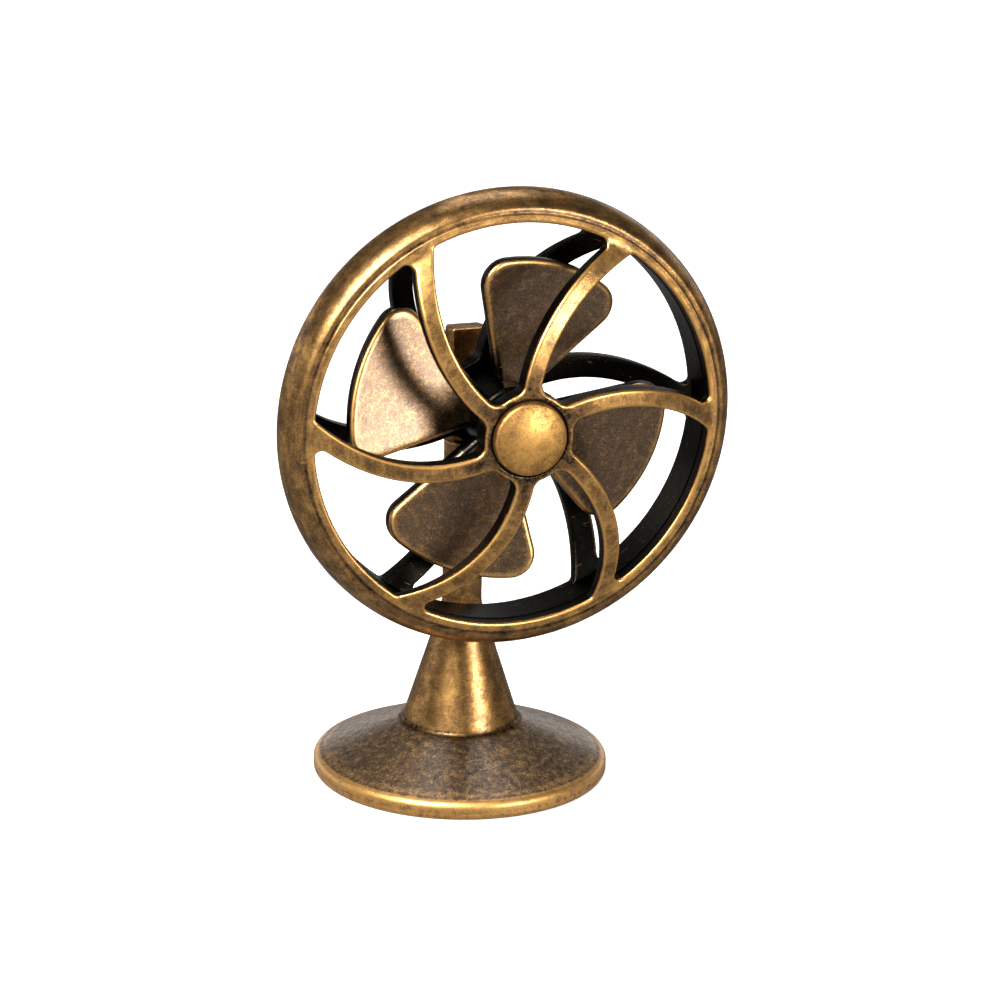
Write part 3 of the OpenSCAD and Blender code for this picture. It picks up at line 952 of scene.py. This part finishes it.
class FAN_OT_post(bpy.types.Operator):
    """Makes the cone, the post and its flattened top in one casting"""

    bl_idname = "fan.post"
    bl_label = "Post"

    def execute(self, context):
        s = context.scene.fan_stand
        post, flat = s.post_r / MM, s.tang_t / MM / 2
        cone, flare, cone_top = s.cone_r / MM, s.flare_r / MM, s.cone_top / MM
        ledge = AXIS_H - s.tang_reach / MM
        tenon_r, sunk = 1.9, SEAT_H - 0.12
        profile = rounded([
            (0, POST_LOW, 0, -1),
            (tenon_r, POST_LOW, 0, -1),
            (tenon_r, sunk, 0, -1),
            (POST_FOOT_R + 0.06, sunk, 0, -1),
            (POST_FOOT_R + 0.1, SEAT_H - 0.045, 0, -0.6),
            (cone + 0.03, SEAT_H + 0.1, flare, -0.4),
            (post, cone_top, 3.0, 0.0),
            (post, cone_top + 6, 0, 0.0),
        ], 10)
        squeeze = [None] * len(profile)
        # the flattened top: radius, height, half thickness between the flats, wear
        flattened = [
            (post, ledge - 0.10, post, 0.0),
            (post, ledge - 0.04, post - 0.02, 0.6),
            (post, ledge, post - 0.1, 1.0),
            (post, ledge, flat + 0.08, -0.6),
            (post, ledge + 0.08, flat, -0.8),
            (post, ledge + 0.2, flat, -0.1),
            (post, AXIS_H, flat, -0.1),
            (post, POST_TOP - 0.2, flat, -0.1),
            (post, POST_TOP - 0.14, flat, -0.1),
            (post - 0.04, POST_TOP - 0.04, flat - 0.04, 0.1),
            (post - 0.14, POST_TOP, flat - 0.14, -0.1),
            (post - 0.25, POST_TOP, flat - 0.25, -0.25),
            (0, POST_TOP, flat - 0.25, -0.25),
        ]
        profile += [(r, z, wear) for r, z, _, wear in flattened]
        squeeze += [limit for _, _, limit, _ in flattened]
        obj = turned("post_casting", profile, materials()["cone"], place_stand, squeeze=squeeze)
        fit(obj, "stand", "cone_patina", "pedestal")
        return {"FINISHED"}


class FAN_OT_trim(bpy.types.Operator):
    """Makes the nose cap, the rear collar and the two running washers"""

    bl_idname = "fan.trim"
    bl_label = "Cap, collar and washers"

    def execute(self, context):
        paint = materials()
        edge_f = FRONT_HUB_F + 0.3
        rise = CAP_TOP_F - edge_f
        dome_r = (CAP_R**2 + rise**2) / (2 * rise)
        first = math.degrees(math.acos((CAP_R - 0.2) / dome_r))
        dome = ellipse((0, CAP_TOP_F - dome_r), dome_r, dome_r, first, 90, 14)
        cap = rounded([
            (0, CAP_SEAT_F, 0, -1),
            (CAP_R, CAP_SEAT_F, 0.05, -1),
            (CAP_R, edge_f, 0.26, -0.1),
            (*dome[0], 0),
        ], 7)
        cap = cap[:-1] + [(r, f, 0.12 - 0.3 * (r / CAP_R) ** 2) for r, f, _ in dome]
        cap_dome = turned("nose_cap_dome", cap, paint["cap"], place_head, 128)
        fit(cap_dome, "stand", "cap_patina", "nose_cap")
        collar = rounded([
            (0, COLLAR_FACE_F, 0, -0.5),
            (COLLAR_R, COLLAR_FACE_F, 0.05, -0.5),
            (COLLAR_R, COLLAR_END_F, 0.35, 0.8),
            (0, COLLAR_END_F, 0, 0.2),
        ], 6)
        rivet = turned("rear_collar_rivet", collar, paint["cap"], place_head, 96)
        fit(rivet, "stand", "cap_patina", "rear_collar")
        for name, (low, high) in (("front_washer", FRONT_WASHER), ("rear_washer", REAR_WASHER)):
            washer = rounded([
                (BORE_R, low, 0, 0),
                (WASHER_R, low, 0.04, 0.5),
                (WASHER_R, high, 0.04, 0.5),
                (BORE_R, high, 0.03, 0.2),
                (BORE_R, low, 0, 0),
            ], 3)
            obj = turned(name + "_turned", washer, paint["washer"], place_head, 96)
            fit(obj, "stand", "washer_brass", name)
        return {"FINISHED"}


class FAN_OT_hardware(bpy.types.Operator):
    """Gives the axle, screw, washer and dowels of the frame their steel finish"""

    bl_idname = "fan.hardware"
    bl_label = "Screws and pins"

    def execute(self, context):
        for name in ("axle", "base_screw", "base_washer", "guard_dowels"):
            mesh = frame["nodes"][name].data
            mesh.materials.clear()
            mesh.materials.append(materials()["steel"])
        return {"FINISHED"}


# ---------------------------------------------------------------- shader node groups

def new_group(name, inputs, outputs):
    """A shader node group with its named sockets; returns the tree and both ends' sockets."""
    tree = bpy.data.node_groups.new(name, "ShaderNodeTree")
    kinds = {"value": "NodeSocketFloat", "vector": "NodeSocketVector", "colour": "NodeSocketColor"}
    for label, kind in inputs:
        tree.interface.new_socket(label, in_out="INPUT", socket_type=kinds[kind])
    for label, kind in outputs:
        tree.interface.new_socket(label, in_out="OUTPUT", socket_type=kinds[kind])
    return tree, add(tree, "NodeGroupInput").outputs, add(tree, "NodeGroupOutput").inputs


def maths(tree, operation, a, b=0.0, c=0.0):
    """The result of one Math node."""
    return add(tree, "ShaderNodeMath", {"operation": operation}, _0=a, _1=b, _2=c).outputs[0]


def remap(tree, value, low, high, to_low, to_high, smooth=False):
    """A value mapped from one range to another and held there."""
    kind = "SMOOTHSTEP" if smooth else "LINEAR"
    node = add(
        tree, "ShaderNodeMapRange", {"interpolation_type": kind, "clamp": True},
        Value=value, From_Min=low, From_Max=high, To_Min=to_low, To_Max=to_high,
    )
    return node.outputs[0]


def blend_colour(tree, share, a, b):
    """The colour a share of the way from a to b."""
    return add(tree, "ShaderNodeMix", {"data_type": "RGBA"}, _0=share, _6=a, _7=b).outputs[2]


def scaled(tree, vector, factor):
    """A vector times a number."""
    return add(tree, "ShaderNodeVectorMath", {"operation": "SCALE"}, _0=vector, _3=factor).outputs[0]


def swing(tree, value, amount, base):
    """Adds to base the amount by which a noise value stands off its middle."""
    return maths(tree, "MULTIPLY_ADD", maths(tree, "SUBTRACT", value, 0.5), amount, base)


def noise(tree, vector, scale, detail=4.0, roughness=0.6, distortion=0.0):
    """The value of a noise texture."""
    node = add(
        tree, "ShaderNodeTexNoise", Vector=vector, Scale=scale, Detail=detail, Roughness=roughness,
        Distortion=distortion,
    )
    return node.outputs["Fac"]


def patina_group():
    """Antique finish: rubbed edges, mottled brown, dark hollows and painted shade where the wear is low.
    Position is in millimetres.
    """
    tree, given, out = new_group(
        "Antique patina",
        [
            ("Position", "vector"), ("Wear", "value"), ("Age", "value"), ("Mottle", "value"),
            ("Mottle size", "value"), ("Grain", "value"), ("Streaks", "value"),
            ("Bright", "colour"), ("Brown", "colour"), ("Dark", "colour"),
        ],
        [("Color", "colour"), ("Aged", "value"), ("Height", "value")],
    )
    spread = maths(tree, "DIVIDE", 1.0, given["Mottle size"])
    patches = scaled(tree, given["Position"], spread)
    broad = noise(tree, patches, 1.0, 5.0, 0.62, 0.4)
    patchy = noise(tree, patches, 3.7, 4.0, 0.6)
    grain = noise(tree, given["Position"], 9.0, 3.0, 0.7)
    ridge = maths(tree, "MAXIMUM", given["Wear"], 0.0)
    rubbed = maths(tree, "MULTIPLY", ridge, remap(tree, patchy, 0.3, 0.6, 0.75, 1.0))
    # low wear darkens the colour: patina in the hollows, and painted shade at the cap's recess and on the
    # rotor's hub
    hollow = maths(tree, "MAXIMUM", maths(tree, "MULTIPLY", given["Wear"], -1.0), 0.0)
    age = swing(tree, broad, maths(tree, "MULTIPLY", given["Mottle"], 2.0), given["Age"])
    age = swing(tree, patchy, given["Mottle"], age)
    age = swing(tree, grain, given["Grain"], age)
    age = maths(tree, "ADD", age, given["Streaks"])
    age = maths(tree, "MULTIPLY_ADD", rubbed, -0.75, age)
    age = maths(tree, "MULTIPLY_ADD", hollow, 0.8, age)
    age = remap(tree, age, 0.0, 1.0, 0.0, 1.0)
    first = blend_colour(tree, remap(tree, age, 0.0, 0.5, 0.0, 1.0), given["Bright"], given["Brown"])
    colour = blend_colour(tree, remap(tree, age, 0.5, 1.0, 0.0, 1.0), first, given["Dark"])
    height = maths(tree, "MULTIPLY_ADD", patchy, 0.5, maths(tree, "MULTIPLY", grain, 0.5))
    for label, value in (("Color", colour), ("Aged", age), ("Height", height)):
        link_in(tree, out[label].node, label, value)
    return tree


def streak_group():
    """Fine streaks that run round the head's axis, from polishing."""
    tree, given, out = new_group(
        "Round streaks", [("Position", "vector"), ("Amount", "value")], [("Streaks", "value")]
    )
    centred = add(
        tree, "ShaderNodeVectorMath", {"operation": "SUBTRACT"}, _0=given["Position"], _1=(0, 0, AXIS_H)
    )
    parts = add(tree, "ShaderNodeSeparateXYZ", Vector=centred.outputs[0]).outputs
    flat = add(tree, "ShaderNodeCombineXYZ", X=parts[0], Y=parts[2]).outputs[0]
    radius = add(tree, "ShaderNodeVectorMath", {"operation": "LENGTH"}, _0=flat).outputs["Value"]
    heading_v = add(tree, "ShaderNodeVectorMath", {"operation": "NORMALIZE"}, _0=flat).outputs[0]
    round_v = add(tree, "ShaderNodeSeparateXYZ", Vector=scaled(tree, heading_v, 14.0)).outputs
    across = maths(tree, "MULTIPLY", parts[1], 2.6)
    place = add(tree, "ShaderNodeCombineXYZ", X=round_v[0], Y=round_v[1], Z=across).outputs[0]
    fine = add(
        tree, "ShaderNodeTexNoise", {"noise_dimensions": "4D"}, Vector=place,
        W=maths(tree, "MULTIPLY", radius, 4.2), Scale=0.9, Detail=4.0, Roughness=0.65,
    ).outputs["Fac"]
    value = maths(tree, "MULTIPLY", maths(tree, "SUBTRACT", fine, 0.5), given["Amount"])
    link_in(tree, out["Streaks"].node, "Streaks", value)
    return tree


def dust_group():
    """Pale specks and short scratches. Position is in millimetres."""
    tree, given, out = new_group(
        "Dust and scratches",
        [("Position", "vector"), ("Specks", "value"), ("Speck size", "value")],
        [("Dust", "value"), ("Scratch", "value")],
    )
    cells = add(tree, "ShaderNodeTexVoronoi", Vector=given["Position"], Scale=2.6, Randomness=1.0)
    chosen = add(tree, "ShaderNodeSeparateXYZ", Vector=cells.outputs["Color"]).outputs[0]
    near = maths(tree, "LESS_THAN", cells.outputs["Distance"], given["Speck size"])
    dust = maths(tree, "MULTIPLY", near, maths(tree, "LESS_THAN", chosen, given["Specks"]))
    bent = add(
        tree, "ShaderNodeMapping", Vector=given["Position"], Rotation=(0.3, 0.7, 0.6),
        Scale=(0.35, 7.0, 3.0),
    )
    lines = noise(tree, bent.outputs[0], 1.0, 2.0, 0.5, 1.2)
    scratch = remap(tree, lines, 0.68, 0.74, 0.0, 1.0)
    link_in(tree, out["Dust"].node, "Dust", dust)
    link_in(tree, out["Scratch"].node, "Scratch", scratch)
    return tree


# ---------------------------------------------------------------- materials

def group_in(tree, make, name, **inputs):
    """Places a shared node group, made the first time it is asked for."""
    node = tree.nodes.new("ShaderNodeGroup")
    node.node_tree = bpy.data.node_groups.get(name) or make()
    for key, value in inputs.items():
        link_in(tree, node, key.replace("_", " "), value)
    return node.outputs


def millimetres(tree):
    """The piece's own position in millimetres."""
    coords = add(tree, "ShaderNodeTexCoord").outputs["Object"]
    return add(tree, "ShaderNodeMapping", Vector=coords, Scale=(1 / MM, 1 / MM, 1 / MM)).outputs[0]


def blank(name):
    """A new material, its node tree and its Principled BSDF."""
    material = bpy.data.materials.new(name)
    material.use_nodes = True
    tree = material.node_tree
    shader = next(n for n in tree.nodes if n.type == "BSDF_PRINCIPLED")
    return material, tree, shader


def patina(name, colours, age, mottle=0.35, mottle_size=1.6, grain=0.25, streaks=0.0, polish=(0.26, 0.42),
           specks=0.03, speck_size=0.07, bump=0.35, coat=0.0, edge_tint=0.55):
    """An antique brass finish; polish is the roughness of rubbed and of dark metal, coat a thin lacquer."""
    material, tree, shader = blank(name)
    bright, brown, dark, dust_colour = colours
    place = millimetres(tree)
    worn_and_shaded = add(tree, "ShaderNodeAttribute", {"attribute_name": WEAR_AND_SHADE}).outputs["Fac"]
    streak = group_in(tree, streak_group, "Round streaks", Position=place, Amount=streaks)["Streaks"]
    aged = group_in(
        tree, patina_group, "Antique patina", Position=place, Wear=worn_and_shaded, Age=age, Mottle=mottle,
        Mottle_size=mottle_size, Grain=grain, Streaks=streak,
        Bright=(*bright, 1), Brown=(*brown, 1), Dark=(*dark, 1),
    )
    marks = group_in(
        tree, dust_group, "Dust and scratches", Position=place, Specks=specks, Speck_size=speck_size
    )
    bared = maths(tree, "MULTIPLY", marks["Scratch"], 0.35)
    dusted = maths(tree, "MULTIPLY", marks["Dust"], 0.7)
    scratched = blend_colour(tree, bared, aged["Color"], (*bright, 1))
    colour = blend_colour(tree, dusted, scratched, (*dust_colour, 1))
    tree.links.new(colour, shader.inputs["Base Color"])
    shader.inputs["Metallic"].default_value = 1.0
    shader.inputs["Specular Tint"].default_value = (edge_tint, edge_tint, edge_tint, 1)
    rough = remap(tree, aged["Aged"], 0.0, 1.0, polish[0], polish[1])
    rough = swing(tree, aged["Height"], 0.35, rough)
    tree.links.new(maths(tree, "MULTIPLY_ADD", marks["Dust"], 0.3, rough), shader.inputs["Roughness"])
    height = maths(tree, "MULTIPLY_ADD", marks["Scratch"], -0.25, aged["Height"])
    dents = add(tree, "ShaderNodeBump", Strength=bump, Distance=0.03 * MM, Height=height)
    tree.links.new(dents.outputs[0], shader.inputs["Normal"])
    tree.links.new(remap(tree, aged["Aged"], 0.7, 1.0, coat, 0.0), shader.inputs["Coat Weight"])
    shader.inputs["Coat Roughness"].default_value = 0.24
    shader.inputs["Coat IOR"].default_value = 1.6
    return material


def brushed(name, colour, roughness):
    """Plain drawn or turned metal."""
    material, tree, shader = blank(name)
    place = add(tree, "ShaderNodeMapping", Vector=millimetres(tree), Scale=(6.0, 1.0, 6.0)).outputs[0]
    drawn = noise(tree, place, 2.0, 4.0, 0.6)
    low, high = ([c * k for c in colour] + [1] for k in (0.75, 1.1))
    tree.links.new(blend_colour(tree, drawn, low, high), shader.inputs["Base Color"])
    rough = remap(tree, drawn, 0.3, 0.7, roughness - 0.08, roughness + 0.1)
    tree.links.new(rough, shader.inputs["Roughness"])
    shader.inputs["Metallic"].default_value = 1.0
    dents = add(tree, "ShaderNodeBump", Strength=0.3, Distance=0.01 * MM, Height=drawn)
    tree.links.new(dents.outputs[0], shader.inputs["Normal"])
    return material


def felted(name, colour):
    """Thin pressed felt: matted fibres and a little lint."""
    material, tree, shader = blank(name)
    place = millimetres(tree)
    fibres = noise(tree, place, 14.0, 6.0, 0.75, 2.5)
    clumps = noise(tree, place, 1.6, 3.0, 0.6)
    low, high = ([c * k for c in colour] + [1] for k in (0.5, 2.2))
    matted = maths(tree, "MULTIPLY_ADD", clumps, 0.4, maths(tree, "MULTIPLY", fibres, 0.6))
    shade = blend_colour(tree, matted, low, high)
    tree.links.new(shade, shader.inputs["Base Color"])
    tree.links.new(remap(tree, fibres, 0.3, 0.7, 0.85, 1.0), shader.inputs["Roughness"])
    shader.inputs["Sheen Weight"].default_value = 0.35
    fuzz = add(tree, "ShaderNodeBump", Strength=0.8, Distance=0.06 * MM, Height=fibres)
    tree.links.new(fuzz.outputs[0], shader.inputs["Normal"])
    return material


MADE = {}  # finishes made so far, by short name


def materials():
    """Every finish by its short name, made the first time they are asked for."""
    if MADE:
        return MADE
    f = bpy.context.scene.fan_finish
    brass, copper, earth = (
        (tuple(f.bright), tuple(body), tuple(f.dark), tuple(f.dust)) for body in (f.brown, f.copper, f.earth)
    )
    MADE.update(
        guard=patina(
            "Guard patina", brass, age=0.48, mottle=0.6, mottle_size=1.4, grain=0.9, streaks=1.0,
            polish=(0.35, 0.38), coat=0.35,
        ),
        rear_guard=patina(
            "Rear guard patina", brass, age=0.62, mottle=0.4, mottle_size=1.5, grain=0.6,
            polish=(0.34, 0.3), specks=0.015,
        ),
        blade=patina(
            "Blade patina", copper, age=0.53, mottle=0.28, mottle_size=0.6, grain=1.1, streaks=0.5,
            polish=(0.36, 0.28), specks=0.06, speck_size=0.1, bump=0.2, coat=0.9,
        ),
        cone=patina(
            "Cone patina", brass, age=0.46, mottle=0.62, mottle_size=0.9, grain=1.0,
            polish=(0.32, 0.42), coat=0.25,
        ),
        foot=patina(
            "Foot patina", earth, age=0.58, mottle=0.75, mottle_size=0.45, grain=1.2,
            polish=(0.44, 0.5), specks=0.4, speck_size=0.14, bump=0.7, coat=0.6, edge_tint=1.0,
        ),
        cap=patina(
            "Cap patina", brass, age=0.2, mottle=0.55, mottle_size=0.8, grain=1.0,
            polish=(0.46, 0.5), specks=0.04,
        ),
        washer=brushed("Washer brass", (0.60, 0.45, 0.22), 0.35),
        steel=brushed("Bright steel", tuple(f.steel), 0.3),
        felt=felted("Pad felt", tuple(f.felt)),
    )
    return MADE


# ---------------------------------------------------------------- stage

def direction(azimuth, elevation):
    """Unit vector towards a point round the fan: azimuth 0 is in front, 90 to its right side in view."""
    a, e = math.radians(azimuth), math.radians(elevation)
    return Vector((math.sin(a) * math.cos(e), -math.cos(a) * math.cos(e), math.sin(e)))


SOFTBOX_AIM_H = 0.02  # height that every softbox is aimed at, in metres


def softbox(name, azimuth, elevation, distance, width, height, watts, colour=(1, 1, 1)):
    """A rectangular light aimed at the fan; sizes are in metres."""
    light = bpy.data.lights.new(name, "AREA")
    light.shape, light.size, light.size_y = "RECTANGLE", width, height
    light.energy, light.color = watts, colour
    obj = bpy.data.objects.new(name, light)
    bpy.context.scene.collection.objects.link(obj)
    aim = direction(azimuth, elevation)
    obj.location = Vector((0, 0, SOFTBOX_AIM_H)) + aim * distance
    obj.rotation_euler = aim.to_track_quat("Z", "Y").to_euler()
    obj.visible_camera = False


def studio_world():
    """A pale room, bright low down behind the fan and dim elsewhere; the camera sees plain white."""
    world = bpy.data.worlds.new("Studio")
    world.use_nodes = True
    bpy.context.scene.world = world
    tree = world.node_tree
    tree.nodes.clear()
    toward = add(tree, "ShaderNodeTexCoord").outputs["Generated"]
    parts = add(tree, "ShaderNodeSeparateXYZ", Vector=toward).outputs
    dim = 0.07
    back = remap(tree, parts[1], -0.1, 0.45, 0.0, 1.0, smooth=True)
    low = remap(tree, parts[2], 0.22, 0.34, 1.0, 0.05, smooth=True)
    strength = maths(tree, "MULTIPLY_ADD", back, low, dim)
    glow = add(tree, "ShaderNodeBackground", Strength=strength, Color=(1.0, 0.99, 0.97, 1))
    plain = add(tree, "ShaderNodeBackground", Strength=1.0, Color=(1, 1, 1, 1))
    seen = add(tree, "ShaderNodeLightPath").outputs["Is Camera Ray"]
    both = add(tree, "ShaderNodeMixShader", _0=seen, _1=glow.outputs[0], _2=plain.outputs[0])
    add(tree, "ShaderNodeOutputWorld", Surface=both.outputs[0])


def pale_floor():
    """A plain pale floor that shows nearly white and throws back a softer light."""
    reach = 3.0
    low = -0.02 * MM  # a hair below the foot, so that no two faces lie in one plane
    corners = [(x * reach, y * reach, low) for x, y in ((-1, -1), (1, -1), (1, 1), (-1, 1))]
    mesh = bpy.data.meshes.new("studio_floor")
    mesh.from_pydata(corners, [], [(0, 1, 2, 3)])
    material, tree, shader = blank("Floor")
    shader.inputs["Roughness"].default_value = 0.9
    shader.inputs["Specular IOR Level"].default_value = 0.0
    shader.inputs["Emission Color"].default_value = (1, 1, 1, 1)
    seen = add(tree, "ShaderNodeLightPath").outputs["Is Camera Ray"]
    tone = remap(tree, seen, 0.0, 1.0, 0.22, 0.8)
    tree.links.new(tone, shader.inputs["Base Color"])
    tree.links.new(remap(tree, seen, 0.0, 1.0, 0.0, 0.8), shader.inputs["Emission Strength"])
    show("studio_floor", mesh, material)


class FAN_OT_stage(bpy.types.Operator):
    """Sets the pale floor, the softboxes, the room light and the camera"""

    bl_idname = "fan.stage"
    bl_label = "Stage"

    def execute(self, context):
        view = context.scene.fan_stage
        pale_floor()
        studio_world()
        softbox(
            "key_softbox", azimuth=-48, elevation=42, distance=0.50, width=0.26, height=0.30, watts=5.0,
            colour=(1.0, 0.98, 0.95),
        )
        softbox(
            "right_softbox", azimuth=27, elevation=13, distance=0.50, width=0.13, height=0.20, watts=1.5,
            colour=(1.0, 0.97, 0.93),
        )
        softbox(
            "top_softbox", azimuth=162, elevation=56, distance=0.60, width=0.26, height=0.26, watts=0.6
        )
        target = Vector((0, 0, view.target_h))
        aim = direction(math.degrees(view.azimuth), math.degrees(view.elevation))
        lens = bpy.data.cameras.new("camera")
        lens.sensor_width = 36
        lens.lens = view.lens
        lens.shift_x, lens.shift_y = view.shift_x, view.shift_y
        lens.clip_start, lens.clip_end = 0.01, 20
        camera = bpy.data.objects.new("camera", lens)
        camera.location = target + aim * view.distance
        upright = aim.to_track_quat("Z", "Y")
        camera.rotation_euler = (upright @ Quaternion((0, 0, 1), view.roll)).to_euler()
        context.scene.collection.objects.link(camera)
        context.scene.camera = camera
        context.scene.view_settings.view_transform = "Standard"
        return {"FINISHED"}


# ---------------------------------------------------------------- panel and registration

GROUPS = {
    "fan_guard": FAN_PG_guard, "fan_rotor": FAN_PG_rotor, "fan_stand": FAN_PG_stand,
    "fan_finish": FAN_PG_finish, "fan_stage": FAN_PG_stage,
}
OPERATORS = (
    FAN_OT_stage, FAN_OT_foot, FAN_OT_post, FAN_OT_rear_guard, FAN_OT_rotor, FAN_OT_front_guard,
    FAN_OT_trim, FAN_OT_hardware,
)


class FAN_PT_sidebar(bpy.types.Panel):
    """Lists the fan's pieces and their sizes."""

    bl_idname = "FAN_PT_sidebar"
    bl_label = "Desk Fan"
    bl_space_type = "VIEW_3D"
    bl_region_type = "UI"
    bl_category = "Desk Fan"

    def draw(self, context):
        for operator in OPERATORS:
            self.layout.operator(operator.bl_idname)
        for name in GROUPS:
            box = self.layout.box()
            group = getattr(context.scene, name)
            for key in group.__annotations__:
                box.prop(group, key)


def register():
    """Registers the classes and hangs the settings on the scene."""
    for cls in (*GROUPS.values(), *OPERATORS, FAN_PT_sidebar):
        bpy.utils.register_class(cls)
    for name, group in GROUPS.items():
        setattr(bpy.types.Scene, name, PointerProperty(type=group))


def unregister():
    """Takes the settings and the classes away again."""
    for name in GROUPS:
        delattr(bpy.types.Scene, name)
    for cls in reversed((*GROUPS.values(), *OPERATORS, FAN_PT_sidebar)):
        bpy.utils.unregister_class(cls)


def main():
    register()
    for operator in OPERATORS:
        getattr(bpy.ops.fan, operator.bl_idname.split(".")[1])()


if __name__ == "__main__":
    main()
